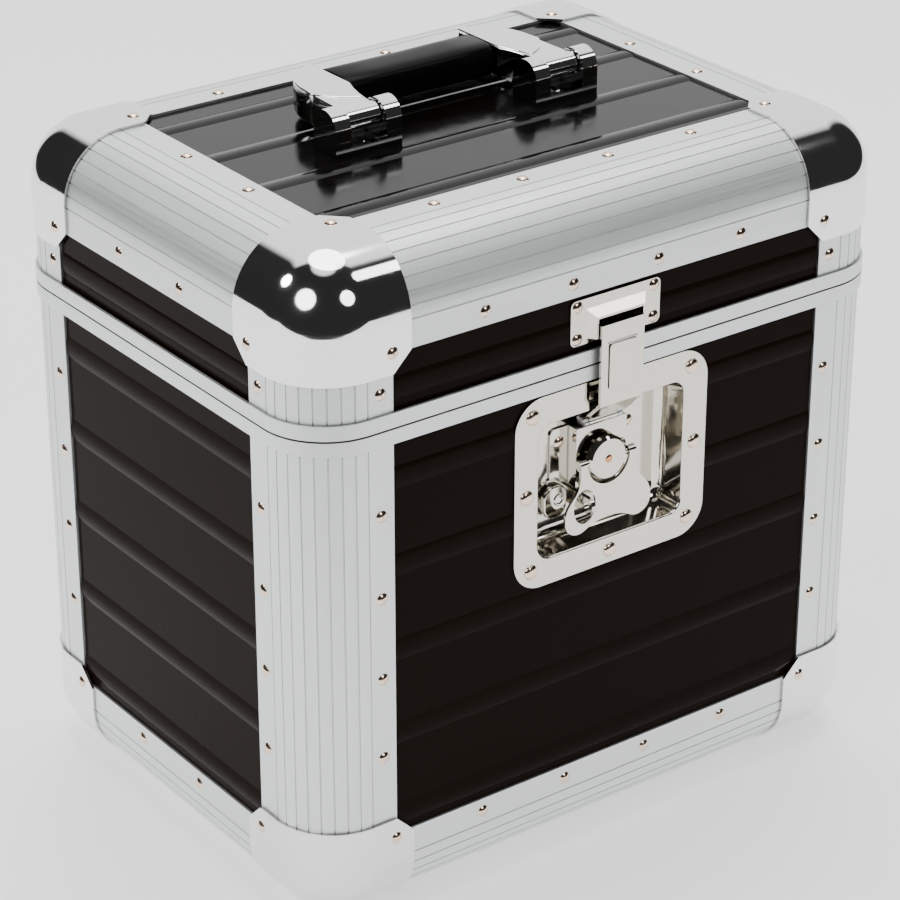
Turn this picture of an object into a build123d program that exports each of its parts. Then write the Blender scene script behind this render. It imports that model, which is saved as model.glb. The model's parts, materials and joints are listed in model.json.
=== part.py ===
"""Record carrying case: laminate panels in round aluminium frame sections, steel ball corners,
a deep lid on two rear hinges, a recessed butterfly draw latch and a folding handle.

Origin: middle of the footprint, on the plane of the bottom ball corners. X runs along the front,
-Y is the latch side and +Z is up. All lengths are millimetres.
"""
from build123d import *
import math
import os

# ---------------------------------------------------------------- body of the case
width = 365.0            # over the frame, along the front
depth = 272.0            # over the frame, front to back
height = 362.0           # over the frame, bottom to top
panel_t = 7.0            # laminated plywood
frame_wall = 1.5         # wall of every frame section
frame_radius = 34.0      # outer radius of the round corner of a frame section
frame_reach = 48.7       # how far a frame section laps over its panels, from the outer plane
slot_depth = 14.2        # how deep a panel stands in its slot
groove_r = 0.4           # fine grooves drawn along the round of the frame section
groove_count = 9
lid_height = 86.5        # parting line of base and lid below the frame's top
seam_gap = 0.3           # left between base and lid
butt_gap = 0.2           # between a rail's end and the post that it meets

# ---------------------------------------------------------------- rims at the parting line
rim_proud = 1.5          # stands outside the frame
rim_leg = 7.9            # height of the outer band
base_ledge_t = 5.0
lid_ledge_t = 6.0
tongue_w = 2.0
tongue_h = 3.0
tongue_inset = 4.0       # tongue's outer face, from the frame's outer plane
tongue_play = 0.7

# ---------------------------------------------------------------- ball corners
cap_wall = 1.5
cap_lap = 9.8            # how far a corner laps past the edge of the frame sections
cap_chamfer = 10.5
cap_rivet_edge = 11.0    # from the corner's edge to its rivet

# ---------------------------------------------------------------- panel ridges
ridge_w = 12.0
ridge_h = 1.0
ridge_pitch = 47.2
ridge_below_seam = 27.7
ridge_above_seam = 19.5
ridge_end_gap = 1.0
top_ridge_y = -27.6      # ridge in front of the handle, from the case's middle
part_gap = 0.3           # general gap between pieces that don't touch

# ---------------------------------------------------------------- rivets
rivet_head_r = 3.25
rivet_head_h = 1.5
rivet_shank_r = 1.6
rivet_tail_r = 2.4
rivet_tail_h = 0.9
rivet_play = 0.05
rivet_edge = 7.4         # from a frame section's edge to its line of rivets
front_rivet_end = 102.7  # first rivet of a front rail, from the frame's side plane
front_rivets = 4
side_rivet_end = 108.2   # first rivet of a side rail, from the frame's front plane
side_rivets = 2
post_rivet_low = 96.0    # lowest rivet of a post, above the frame's bottom
post_rivet_drop = 45.25  # highest rivet of a base's post, below the parting line
post_rivets = 4
lid_post_rivet = 18.8    # rivet of a lid's post, above the parting line

# ---------------------------------------------------------------- foam pads
foam_t = 8.0
foam_inset = 1.0

# ---------------------------------------------------------------- latch dish
latch_datum = 275.5      # heights of dish, latch and keeper start this far below the parting line
dish_w = 122.6
dish_h = 105.0
dish_mid_z = 213.0
dish_corner = 17.0
dish_sheet = 1.2
bowl_w = 93.0
bowl_h = 74.0
bowl_corner = 8.0
bowl_mid_z = 212.5
bowl_depth = 15.5        # from the panel's face to the bowl's floor
bowl_draft = 2.0
bowl_floor_r = 6.0       # inside radius where the bowl's walls meet its floor
bowl_lip_r = 1.1         # rounding of the bowl's mouth
channel_w = 31.0         # gap in the dish for the hook
channel_top = 262.5      # where the channel's ramp meets the panel's face
dish_rivets = ((50.6, 256.0), (53.8, 213.0), (50.6, 170.5))
dish_low_rivet = 167.4

# ---------------------------------------------------------------- latch works
latch_z = 218.0          # rotor axis
bracket_w = 54.6
bracket_low = 204.0
bracket_high = 236.0
bracket_flange_t = 1.2
bracket_corner = 3.0
plateau_w = 32.0
plateau_out = -9.0       # outer face of the raised plate, from the frame's front plane
plateau_t = 1.5
bracket_rivet_x = 21.8
bracket_rivet_z = 228.3
lug_x = -24.0
lug_z = 197.0
lug_r = 9.0
rotor_cap_r = 12.0
rotor_cap_t = 3.0
rotor_face = -2.6        # outer face of the rotor's cap, from the frame's front plane
rotor_chamfer = 1.4
rotor_neck_r = 8.0
crank_disc_r = 10.6
crank_disc_t = 1.4
crank_pin_r = 1.8
crank_pin_l = 2.6
hook_travel = 8.0        # hook's lift over the quarter turn, and the crank's throw
crank_extra = 2.0        # extra room below the crank pin in its slot
slide_gap = 0.3
play = 0.05              # radial play of a pin in its hole
slider_t = 1.5
slider_w = 24.0
slider_low = 203.5
wing_t = 1.5
wing_half = 17.8         # half width at the hinge
wing_lobe_half = 27.5
wing_lobe_z = 190.0
wing_low_z = 181.0
wing_low_half = 19.0     # from the middle to the lowest point of a lobe
wing_hollow_z = 185.7
wing_waist_half = 19.6
wing_waist_z = 205.0
wing_cutout_r = 13.4
wing_knuckle_r = 2.4
wing_pin_r = 1.5
wing_slot_x = -15.1
wing_slot_z = 195.5
wing_slot_w = 14.0
wing_slot_h = 19.0
staple_x = -12.6
staple_z = 195.5
staple_t = 2.4
staple_half = 4.4
staple_out = 1.8         # staple's tip, from the frame's front plane
staple_hole_r = 2.2
hook_half = 13.4
hook_t = 1.5
hook_out = 5.9           # outer face of the hook's strap
hook_bend_z = 253.7
hook_top_z = 296.8
hook_lip_in = 1.9        # how near the hook's lip comes to the frame's front plane
hook_rib_z = 287.0
hook_rib_l = 18.0
hook_rib_r = 0.6
hook_knuckle_r = 2.2
hook_pin_r = 1.1
hook_pivot_z = 238.5
hook_pivot_in = 9.5      # behind the frame's front plane
hook_root_l = 3.08       # from the pivot to where the strap widens
hook_knuckle_half = 9.0

# ---------------------------------------------------------------- keeper on the lid
keeper_half = 28.0
keeper_low = 287.0
keeper_high = 311.0
keeper_t = 1.2
keeper_corner = 3.0
keeper_rivet_x = 24.0
keeper_rivet_low = 290.5
keeper_rivet_high = 307.5
hood_root_z = 305.5
hood_lip_z = 301.5
hood_out = 4.0           # hood's lip, from the frame's front plane
hood_half = 18.8
hood_lip_half = 15.0
hood_wall = 1.2
cheek_low = 290.0
window_half = 12.0
window_low = 293.0

# ---------------------------------------------------------------- rear hinges
hinge_edge_gap = 11.8    # between a post's edge and the leaf
hinge_w = 60.0
hinge_t = 1.2
hinge_knuckle_r = 2.3
hinge_pin_r = 1.2
hinge_knuckles = 5
hinge_side_gap = 0.3
hinge_off = 0.3          # knuckles clear the rims' bands
hinge_leaf = 40.0        # leaf's reach from the hinge line on the base
hinge_lid_leaf = 30.0
hinge_rivets = 3
hinge_rivet_pitch = 20.0
hinge_rivet_edge = 8.0

# ---------------------------------------------------------------- handle
handle_x = 62.4          # middle of each bracket and arm
handle_pin_y = -7.0
handle_pin_h = 13.9      # above the frame's top plane
handle_pin_r = 2.5
ear_w = 9.3
bracket_span = 40.0
ear_r = 9.8
ear_mid_h = 11.5
bridge_t = 2.5
bridge_h = 2.8
bracket_floor_t = 3.0
barrel_r = 6.0
barrel_gap = 0.3
arm_top = 19.3
boss_top = 19.9
boss_r = 31.5
boss_x = 40.0
boss_y = 27.0
boss_over = 2.0          # how far the boss laps over the grip's end
arm_flare = 2.0          # steps of the arm's inner side towards the grip
ear_clear = 3.0          # arm's inner side stays this far off the bracket's back
arm_rise_y = 12.0        # where the arm's underside starts down to the boss
arm_low = 8.0
boss_low = 3.0
collar_x = 46.6
grip_y0 = 24.0
grip_y1 = 52.0
grip_low = 1.2
grip_top = 20.0
grip_corner = 8.0
spigot_r = 5.0
spigot_l = 18.0
screw_r = 2.4
screw_head_r = 4.4
screw_head_t = 2.6
screw_depth = 2.0

# ---------------------------------------------------------------- derived places
floor_z = cap_wall                       # frame's bottom plane
roof_z = floor_z + height                # frame's top plane
half_w = width / 2
half_d = depth / 2
seam_height = height - lid_height
cap_reach = frame_reach + cap_lap
cap_rivet = cap_reach - cap_rivet_edge           # from both outer planes
rivet_line = frame_reach - rivet_edge            # from the outer planes
front_rivet_pitch = (width - 2 * front_rivet_end) / (front_rivets - 1)
side_rivet_pitch = (depth - 2 * side_rivet_end) / (side_rivets - 1)
post_rivet_pitch = (seam_height - post_rivet_drop - post_rivet_low) / (post_rivets - 1)
wall_ridge_room = seam_height - ridge_below_seam - frame_reach - ridge_w / 2
wall_ridges = int(wall_ridge_room / ridge_pitch) + 1
top_ridge_room = half_d - frame_reach - ridge_w / 2
ridges_before = int((top_ridge_room + top_ridge_y) / ridge_pitch)
ridges_behind = int((top_ridge_room - top_ridge_y) / ridge_pitch)
hinge_x = half_w - frame_reach - hinge_edge_gap - hinge_w / 2
liner = frame_wall + panel_t + frame_wall        # outer plane to the frame's inner flange
slot_end = frame_reach - slot_depth              # outer plane to the panel's edge
web = slot_end - frame_wall
rail_start = frame_reach + butt_gap
seam_z = floor_z + seam_height
latch_zero = seam_z - latch_datum
base_rim_top = seam_z - seam_gap / 2
lid_rim_low = seam_z + seam_gap / 2
base_top = base_rim_top - base_ledge_t
lid_low = lid_rim_low + lid_ledge_t
face_y = -half_d                         # frame's front plane
panel_face = frame_wall                  # panel's face, inside the outer plane
hinge_out = rim_proud + hinge_off + hinge_knuckle_r

os.makedirs("parts", exist_ok=True)
nodes = {}


def keep(name, shapes):
    """Write one node from a solid or a list of separate solids."""
    group = shapes if isinstance(shapes, list) else [shapes]
    solids = [s for shape in group for s in shape.solids()]
    nodes[name] = solids
    body = solids[0] if len(solids) == 1 else Compound(children=solids)
    export_step(body, f"parts/{name}.step")


def box(x0, x1, y0, y1, z0, z1):
    """A block between two corners."""
    middle = Pos((x0 + x1) / 2, (y0 + y1) / 2, (z0 + z1) / 2)
    return middle * Box(x1 - x0, y1 - y0, z1 - z0)


def face_of(points):
    return make_face(Polyline(*points, close=True))


def across_x(points, x0, x1):
    """Extrude a (y, z) outline along X."""
    plane = Plane(origin=(x0, 0, 0), x_dir=(0, 1, 0), z_dir=(1, 0, 0))
    return extrude(plane * face_of(points), x1 - x0)


def on_front(sketch, out_low, out_high):
    """Extrude an (x, z) sketch of the latch from one height in front of the frame to another."""
    plane = Plane(origin=(0, face_y - out_low, latch_zero), x_dir=(1, 0, 0), z_dir=(0, -1, 0))
    return extrude(plane * sketch, out_high - out_low)


def front_point(out, z):
    """(y, z) of a point given by its height in front of the frame and above the latch's datum."""
    return (face_y - out, latch_zero + z)


def front_profile(points, x0, x1):
    return across_x([front_point(out, z) for out, z in points], x0, x1)


def rod(axis, radius, start, length):
    """A cylinder from a point along an axis given as a direction."""
    plane = Plane(origin=start, z_dir=axis)
    return extrude(plane * Circle(radius), length)


# ---------------------------------------------------------------- frame sections
def frame_profile():
    """Section of post and rail: the round skin, two slots for panels and a slanted inner wall."""
    skin = Line((frame_reach, 0), (frame_radius, 0))
    skin += RadiusArc((frame_radius, 0), (0, frame_radius), frame_radius, short_sagitta=True)
    skin += Polyline(
        (0, frame_radius), (0, frame_reach), (liner, frame_reach), (liner, web),
        (web, liner), (frame_reach, liner), (frame_reach, 0))
    outer = make_face(skin)
    slot = Pos((slot_end + frame_reach) / 2, frame_wall + panel_t / 2)
    slot *= Rectangle(frame_reach - slot_end, panel_t)
    other = Pos(frame_wall + panel_t / 2, (slot_end + frame_reach) / 2)
    other *= Rectangle(panel_t, frame_reach - slot_end)
    slant = web + liner - frame_wall * math.sqrt(2)
    cavity = face_of([(0, 0), (web, 0), (web, slant - web), (slant - web, web), (0, web)])
    cavity &= Pos(frame_radius, frame_radius) * Circle(frame_radius - frame_wall)
    section = outer - slot - other - cavity
    for i in range(groove_count):
        angle = math.pi * (1 + 0.5 * i / (groove_count - 1))
        x = frame_radius + frame_radius * math.cos(angle)
        y = frame_radius + frame_radius * math.sin(angle)
        section -= Pos(x, y) * Circle(groove_r)
    return section


def post(z0, z1):
    """Left front post."""
    plane = Plane(origin=(-half_w, -half_d, z0))
    return extrude(plane * frame_profile(), z1 - z0)


def front_rail():
    """Bottom front rail, along X."""
    x0 = -half_w + rail_start
    plane = Plane(origin=(x0, -half_d, floor_z), x_dir=(0, 1, 0), z_dir=(1, 0, 0))
    return extrude(plane * frame_profile(), -2 * x0)


def side_rail():
    """Bottom left rail, along Y."""
    y0 = -half_d + rail_start
    plane = Plane(origin=(-half_w, y0, floor_z), x_dir=(0, 0, 1), z_dir=(0, 1, 0))
    return extrude(plane * frame_profile(), -2 * y0)


def to_top(shape):
    """Mirror a bottom piece to the top."""
    return mirror(shape, about=Plane.XY.offset(floor_z + height / 2))


def place(shape, right, back):
    """Mirror a left front piece to another corner or side."""
    if right:
        shape = mirror(shape, about=Plane.YZ)
    if back:
        shape = mirror(shape, about=Plane.XZ)
    return shape


# ---------------------------------------------------------------- ball corners
def rounded_corner(offset, radius, reach):
    """A block at the origin corner whose three edges there are rounded."""
    block = box(-offset, reach, -offset, reach, -offset, reach)
    low = -offset + 0.001
    edges = [e for e in block.edges() if sum(1 for v in tuple(e.center()) if v < low) == 2]
    return fillet(edges, radius)


def ball_corner():
    """Pressed steel corner at the origin, legs along +X, +Y and +Z."""
    shell = rounded_corner(cap_wall, frame_radius + cap_wall, cap_reach)
    shell -= rounded_corner(0, frame_radius, cap_reach + frame_radius)
    near = cap_reach - cap_chamfer
    wedge = extrude(face_of([(near, cap_reach), (cap_reach, cap_reach), (cap_reach, near)]), cap_reach)
    wedge = Pos(0, 0, -cap_wall) * wedge
    upright = Plane(origin=(0, 0, 0), x_dir=(0, 1, 0), z_dir=(1, 0, 0)).location * wedge
    flat = Plane(origin=(0, 0, 0), x_dir=(0, 0, 1), z_dir=(0, 1, 0)).location * wedge
    return shell - wedge - upright - flat


# ---------------------------------------------------------------- rivets
def rivet(hold, tail=True):
    """Domed rivet with its head on the plane z = 0 and its shank through a thickness below."""
    reach = rivet_tail_h if tail else 0
    dome_r = (rivet_head_r ** 2 + rivet_head_h ** 2) / (2 * rivet_head_h)
    ball = Pos(0, 0, rivet_head_h - dome_r) * Sphere(dome_r)
    head = ball & Pos(0, 0, dome_r) * Box(3 * dome_r, 3 * dome_r, 2 * dome_r)
    shank = Pos(0, 0, -(hold + reach) / 2) * Cylinder(rivet_shank_r, hold + reach)
    body = head + shank
    if tail:
        body += Pos(0, 0, -hold - reach / 2) * Cylinder(rivet_tail_r, reach)
    return body


def seat(point, normal):
    return Plane(origin=point, z_dir=normal).location


def drilled(shape, sites):
    """Clear the shanks of the rivets that pass a piece."""
    bounds = shape.bounding_box()
    low, high = tuple(bounds.min), tuple(bounds.max)
    tools = []
    for point, normal, hold in sites:
        tail = [p - n * hold for p, n in zip(point, normal)]
        near = [min(p, t) - rivet_tail_r < b and max(p, t) + rivet_tail_r > a
                for p, t, a, b in zip(point, tail, low, high)]
        if all(near):
            hole = Pos(0, 0, -hold / 2) * Cylinder(rivet_shank_r + rivet_play, hold + 1)
            tools.append(seat(point, normal) * hole)
    return shape - tools if tools else shape


def spread(count, pitch):
    """Places of a row about zero."""
    return [(i - (count - 1) / 2) * pitch for i in range(count)]


def frame_sites(top):
    """Rivets of the frame of the base, or of the lid: (point, outward normal, thickness held)."""
    sites = []
    rail_z = roof_z - rivet_line if top else floor_z + rivet_line
    plane_z, up = (roof_z, 1) if top else (floor_z, -1)
    heights = [seam_height + lid_post_rivet] if top else [
        post_rivet_low + i * post_rivet_pitch for i in range(post_rivets)]
    for side in (-1, 1):
        for x in spread(front_rivets, front_rivet_pitch):
            sites.append(((x, side * half_d, rail_z), (0, side, 0), liner))
            sites.append(((x, side * (half_d - rivet_line), plane_z), (0, 0, up), liner))
        for y in spread(side_rivets, side_rivet_pitch):
            sites.append(((side * half_w, y, rail_z), (side, 0, 0), liner))
            sites.append(((side * (half_w - rivet_line), y, plane_z), (0, 0, up), liner))
        for other in (-1, 1):
            for z in heights:
                x, y = side * (half_w - rivet_line), other * (half_d - rivet_line)
                sites.append(((x, other * half_d, floor_z + z), (0, other, 0), liner))
                sites.append(((side * half_w, y, floor_z + z), (side, 0, 0), liner))
            x, y = side * (half_w - cap_rivet), other * (half_d - cap_rivet)
            z = roof_z - cap_rivet if top else floor_z + cap_rivet
            hold = cap_wall + liner
            sites.append(((x, other * (half_d + cap_wall), z), (0, other, 0), hold))
            sites.append(((side * (half_w + cap_wall), y, z), (side, 0, 0), hold))
            if top:
                sites.append(((x, y, roof_z + cap_wall), (0, 0, 1), hold))
            else:
                sites.append(((x, y, floor_z), (0, 0, -1), liner))
    return sites


def front_site(x, z, out, hold):
    """A rivet of the dish, latch or keeper, at a height in front of the frame's plane."""
    return ((x, face_y - out, latch_zero + z), (0, -1, 0), hold)


def dish_sites():
    out = dish_sheet - panel_face
    places = [(side * x, z) for x, z in dish_rivets for side in (-1, 1)]
    places.append((0, dish_low_rivet))
    return [front_site(x, z, out, dish_sheet + panel_t) for x, z in places]


def bracket_sites():
    out = -panel_face - bowl_depth + bracket_flange_t
    hold = bracket_flange_t + dish_sheet
    return [front_site(side * bracket_rivet_x, bracket_rivet_z, out, hold) for side in (-1, 1)]


def keeper_sites():
    out = keeper_t - panel_face
    return [front_site(side * keeper_rivet_x, z, out, keeper_t + panel_t)
            for side in (-1, 1) for z in (keeper_rivet_low, keeper_rivet_high)]


def hinge_sites(top):
    """Rivets of the rear leaves."""
    y = half_d - panel_face + hinge_t
    reach = (hinge_lid_leaf if top else hinge_leaf) - hinge_rivet_edge
    z = seam_z + reach if top else seam_z - reach
    hold = hinge_t + panel_t
    return [((side * hinge_x + x, y, z), (0, 1, 0), hold)
            for side in (-1, 1) for x in spread(hinge_rivets, hinge_rivet_pitch)]


def rivets_at(sites):
    return [seat(point, normal) * rivet(hold) for point, normal, hold in sites]


# ---------------------------------------------------------------- panels
def ridge(length):
    """Low round ridge along X on the plane z = 0, sunk a little into its panel."""
    arc_r = ((ridge_w / 2) ** 2 + ridge_h ** 2) / (2 * ridge_h)
    round_bar = Pos(0, 0, ridge_h - arc_r) * Rot(0, 90, 0) * Cylinder(arc_r, length)
    return round_bar & Box(length, ridge_w, 2 * ridge_h)


def ridges(length, places, frame):
    """Ridges laid along the frame plane's X at several places along its Y."""
    return [frame.location * (Pos(0, place_y, 0) * ridge(length)) for place_y in places]


def wall_places(top):
    if top:
        return [seam_z + ridge_above_seam]
    return [seam_z - ridge_below_seam - i * ridge_pitch for i in range(wall_ridges)]


def front_panel(top):
    """Front or back panel as a front one, with its ridges."""
    z0, z1 = (lid_low, roof_z - slot_end) if top else (floor_z + slot_end, base_top)
    y0 = face_y + panel_face
    panel = box(-half_w + slot_end, half_w - slot_end, y0, y0 + panel_t, z0, z1)
    frame = Plane(origin=(0, y0, 0), x_dir=(1, 0, 0), z_dir=(0, -1, 0))
    length = 2 * (half_w - frame_reach - ridge_end_gap)
    return panel, ridges(length, wall_places(top), frame)


def side_panel(top):
    """Left panel with its ridges."""
    z0, z1 = (lid_low, roof_z - slot_end) if top else (floor_z + slot_end, base_top)
    x0 = -half_w + panel_face
    panel = box(x0, x0 + panel_t, -half_d + slot_end, half_d - slot_end, z0, z1)
    frame = Plane(origin=(x0, 0, 0), x_dir=(0, -1, 0), z_dir=(-1, 0, 0))
    length = 2 * (half_d - frame_reach - ridge_end_gap)
    return panel + ridges(length, wall_places(top), frame)


def flat_panel(top):
    """Bottom panel, or top panel."""
    z = roof_z - panel_face if top else floor_z + panel_face
    z0 = z - panel_t if top else z
    x, y = half_w - slot_end, half_d - slot_end
    panel = box(-x, x, -y, y, z0, z0 + panel_t)
    frame = Plane(origin=(0, 0, z), z_dir=(0, 0, 1 if top else -1))
    places = [top_ridge_y + i * ridge_pitch for i in range(-ridges_before, ridges_behind + 1)]
    places = places if top else [-p for p in places]
    length = 2 * (half_w - frame_reach - ridge_end_gap)
    return panel + ridges(length, places, frame)


# ---------------------------------------------------------------- rims
def ring(outer_out, inner_in, z0, z1, chamfer=0.0):
    """A rounded frame: outside a given distance beyond the frame, inside a given depth."""
    w, d = width + 2 * outer_out, depth + 2 * outer_out
    outer = RectangleRounded(w, d, frame_radius + outer_out)
    if chamfer:
        x, y = half_w - inner_in, half_d - inner_in
        inner = face_of([(x, y - chamfer), (x - chamfer, y), (chamfer - x, y), (-x, y - chamfer),
                         (-x, chamfer - y), (chamfer - x, -y), (x - chamfer, -y), (x, chamfer - y)])
    else:
        inner = RectangleRounded(w - 2 * (outer_out + inner_in), d - 2 * (outer_out + inner_in),
                                 frame_radius - inner_in)
    return Pos(0, 0, z0) * extrude(outer - inner, z1 - z0)


def tongue(z0, z1, play_all):
    """Three-sided tongue of the rim: front and sides, open at the hinge side."""
    near = tongue_inset - play_all
    far = tongue_inset + tongue_w + play_all
    loop = RectangleRounded(width - 2 * near, depth - 2 * near, frame_radius - near)
    loop -= RectangleRounded(width - 2 * far, depth - 2 * far, frame_radius - far)
    body = Pos(0, 0, z0) * extrude(loop, z1 - z0)
    back = half_d - frame_radius - tongue_inset + play_all
    return body - box(-width, width, back, depth, z0 - 1, z1 + 1)


def base_rim():
    slant = web - liner
    body = ring(rim_proud, 0, base_rim_top - rim_leg, base_rim_top)
    body += ring(rim_proud, liner, base_top, base_rim_top, slant)
    return body + tongue(base_rim_top, base_rim_top + tongue_h, 0)


def lid_rim():
    slant = web - liner
    body = ring(rim_proud, 0, lid_rim_low, lid_rim_low + rim_leg)
    body += ring(rim_proud, liner, lid_rim_low, lid_low, slant)
    return body - tongue(lid_rim_low - 1, lid_rim_low + tongue_h + tongue_play, tongue_play)


# ---------------------------------------------------------------- latch dish
def bowl(grow, floor_drop, mouth):
    """Drafted recess, grown by a sheet's thickness; its mouth is at a height in front of the frame."""
    low = -panel_face - bowl_depth - floor_drop
    shrink = 2 * bowl_draft
    top = Pos(0, bowl_mid_z) * RectangleRounded(bowl_w + 2 * grow, bowl_h + 2 * grow,
                                                bowl_corner + grow)
    floor = Pos(0, bowl_mid_z) * RectangleRounded(bowl_w - shrink + 2 * grow,
                                                  bowl_h - shrink + 2 * grow, bowl_corner + grow)
    base = Plane(origin=(0, face_y, latch_zero), x_dir=(1, 0, 0), z_dir=(0, -1, 0))
    body = loft([base.offset(low) * floor, base.offset(mouth) * top])
    return fillet(body.faces().sort_by(Axis.Y)[-1].edges(), bowl_floor_r + grow)


def channel(grow, mouth):
    """Sloping way for the hook through the top of the dish, grown by a sheet's thickness."""
    deep = -panel_face - bowl_depth + 2 * dish_sheet - grow
    back = bowl_mid_z + bowl_h / 2
    slope = grow * math.sqrt(2)
    rise = channel_top - back
    start = back + slope
    points = [(deep, back - channel_w / 2), (deep, start),
              (deep + rise, start + rise), (mouth, start + rise), (mouth, back - channel_w / 2)]
    return front_profile(points, -channel_w / 2 - grow, channel_w / 2 + grow)


def latch_dish():
    top = dish_sheet - panel_face
    flange = Pos(0, dish_mid_z) * RectangleRounded(dish_w, dish_h, dish_corner)
    body = on_front(flange, -panel_face, top)
    body += bowl(dish_sheet, dish_sheet, -panel_face)
    body -= bowl(0, 0, top)
    body = fillet(body.faces().sort_by(Axis.Y)[0].inner_wires()[0].edges(), bowl_lip_r)
    body += channel(dish_sheet, -panel_face) - bowl(0, 0, top)
    body -= channel(0, top + 1)
    notch = box(-channel_w / 2, channel_w / 2, face_y - 1, face_y + panel_face,
                latch_zero + bowl_mid_z, latch_zero + dish_mid_z + dish_h)
    body -= notch
    return drilled(body, dish_sites() + bracket_sites())


def dish_hole():
    """Hole in the front panel for the dish."""
    room = bowl(dish_sheet + part_gap, dish_sheet, -panel_face)
    return room + channel(dish_sheet + part_gap, 1)


# ---------------------------------------------------------------- latch works
def latch_bracket():
    """Hat-shaped plate on the bowl's floor, with a bearing hole for the rotor and the staple's lug."""
    floor = -panel_face - bowl_depth
    inner = plateau_out - plateau_t
    half = plateau_w / 2
    z_mid = (bracket_low + bracket_high) / 2
    tall = bracket_high - bracket_low
    plate = Pos(0, z_mid) * RectangleRounded(bracket_w, tall, bracket_corner)
    gap = Pos(0, z_mid) * Rectangle(plateau_w - 2 * plateau_t, tall + 1)
    body = on_front(plate - gap, floor, floor + bracket_flange_t)
    walls = Pos(0, z_mid) * Rectangle(plateau_w, tall)
    body += on_front(walls - gap, floor, plateau_out)
    body += on_front(walls, inner, plateau_out)
    lug = Pos(lug_x, lug_z) * Circle(lug_r)
    tie = Pos((lug_x - half) / 2, (bracket_low + lug_z) / 2)
    tie *= Rectangle(-half - lug_x + lug_r, bracket_low - lug_z + lug_r)
    foot = Pos((lug_x + staple_x) / 2, staple_z) * Rectangle(staple_x - lug_x + 3 * staple_t, lug_r)
    body += on_front(lug + tie + foot, floor, floor + bracket_flange_t)
    bearing = Pos(0, latch_z) * Circle(rotor_neck_r + play)
    body -= on_front(bearing, floor - 1, 1)
    return drilled(body, bracket_sites())


def padlock_staple():
    """Upright plate with a hole that stands on the bracket's lug and comes through the wing."""
    foot = -panel_face - bowl_depth + bracket_flange_t
    shoulder = staple_out - staple_half
    points = [(foot, staple_z - staple_half), (foot, staple_z + staple_half),
              (shoulder, staple_z + staple_half), (shoulder, staple_z - staple_half)]
    x0, x1 = staple_x - staple_t / 2, staple_x + staple_t / 2
    body = front_profile(points, x0, x1)
    y, z = front_point(shoulder, staple_z)
    body += rod((1, 0, 0), staple_half, (x0, y, z), staple_t)
    return body - rod((1, 0, 0), staple_hole_r, (x0 - 1, y, z), staple_t + 2)


def rotor():
    """Turning boss: cap, neck in the bracket's bearing, crank disc and pin, and the wing's trunnions."""
    cap = Pos(0, latch_z) * Circle(rotor_cap_r)
    cap_low = rotor_face - rotor_cap_t
    inner = plateau_out - plateau_t
    disc_top = inner - slide_gap
    disc_low = disc_top - crank_disc_t
    body = on_front(cap, cap_low, rotor_face)
    body = chamfer(body.faces().sort_by(Axis.Y)[0].edges(), rotor_chamfer)
    body += on_front(Pos(0, latch_z) * Circle(rotor_neck_r), disc_top, cap_low)
    body += on_front(Pos(0, latch_z) * Circle(crank_disc_r), disc_low, disc_top)
    pin = Pos(0, latch_z - hook_travel) * Circle(crank_pin_r)
    body += on_front(pin, disc_low - crank_pin_l, disc_low)
    collar = Pos(0, latch_z) * Circle(rotor_cap_r)
    body += on_front(collar, wing_axis_out() - wing_pin_r, cap_low)
    y, z = front_point(wing_axis_out(), latch_z)
    body += rod((1, 0, 0), wing_pin_r, (-wing_half, y, z), 2 * wing_half)
    return body


def wing_axis_out():
    """Wing's hinge line in front of the frame's front plane."""
    return rotor_face - rotor_cap_t + wing_pin_r / 2


def wing_outline():
    """Plate of the wing: straight at the hinge, waisted sides, two round lobes and a hollow end."""
    waist = (wing_waist_half, wing_waist_z)
    right = Spline((wing_half, latch_z), waist, (wing_lobe_half, wing_lobe_z),
                   tangents=((0, -1), (0, -1)))
    lobe = Spline((wing_lobe_half, wing_lobe_z), (wing_low_half, wing_low_z), (0, wing_hollow_z),
                  tangents=((0, -1), (-1, 0)))
    left = mirror(right, about=Plane.YZ)
    left_lobe = mirror(lobe, about=Plane.YZ)
    closing = Line((wing_half, latch_z), (-wing_half, latch_z))
    return make_face([right, lobe, left_lobe, left, closing])


def wing():
    """Flat wing with two knuckles on the rotor's trunnions."""
    axis_out = wing_axis_out()
    top = axis_out + wing_knuckle_r
    plate = wing_outline() - Pos(0, latch_z) * Circle(wing_cutout_r)
    slot = Pos(wing_slot_x, wing_slot_z) * Ellipse(wing_slot_w / 2, wing_slot_h / 2)
    body = on_front(plate - slot, top - wing_t, top)
    y, z = front_point(axis_out, latch_z)
    for side in (-1, 1):
        x0 = min(side * wing_cutout_r, side * wing_half)
        body += rod((1, 0, 0), wing_knuckle_r, (x0, y, z), wing_half - wing_cutout_r)
    body -= rod((1, 0, 0), wing_pin_r + play, (-wing_half - 1, y, z), 2 * wing_half + 2)
    return body


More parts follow.
